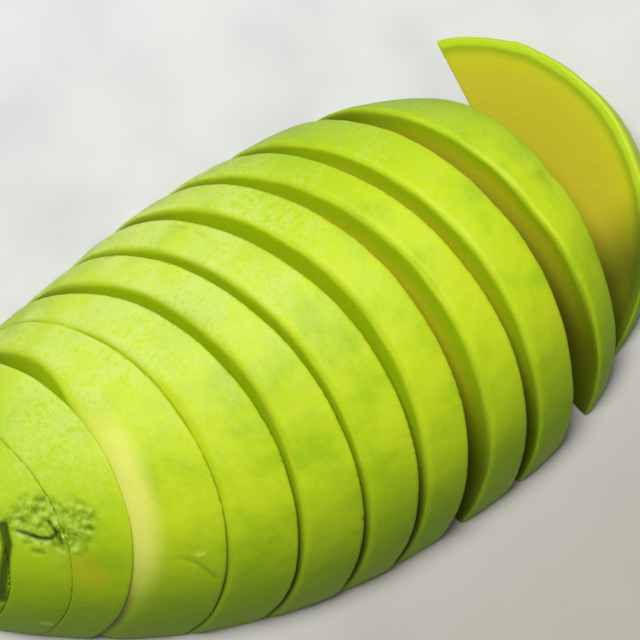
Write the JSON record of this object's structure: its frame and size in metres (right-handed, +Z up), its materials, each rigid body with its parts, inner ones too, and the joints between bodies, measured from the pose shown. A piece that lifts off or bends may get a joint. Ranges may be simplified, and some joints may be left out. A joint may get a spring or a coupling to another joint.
{
  "type": "sliced avocado half",
  "caption": "Peeled avocado half lying on its cut face, sliced crosswise, the slices leaning over and fanned a little apart.",
  "frame": {"origin": "on the surface the half lies on, under the middle of the whole row of slices", "axes": "+Z up from the wide cut face, +X along the row from the stem end to the blossom end, +Y to the far side"},
  "size_m": [0.126, 0.0626, 0.025],
  "materials": {
    "flesh": "moist satin"
  },
  "bodies": {
    "root": {"stem_end": "flesh", "slice_01": "flesh", "slice_02": "flesh", "slice_03": "flesh", "slice_04": "flesh", "slice_05": "flesh", "slice_06": "flesh", "slice_07": "flesh", "slice_08": "flesh", "slice_09": "flesh", "slice_10": "flesh", "blossom_end": "flesh"}
  },
  "joints": []
}
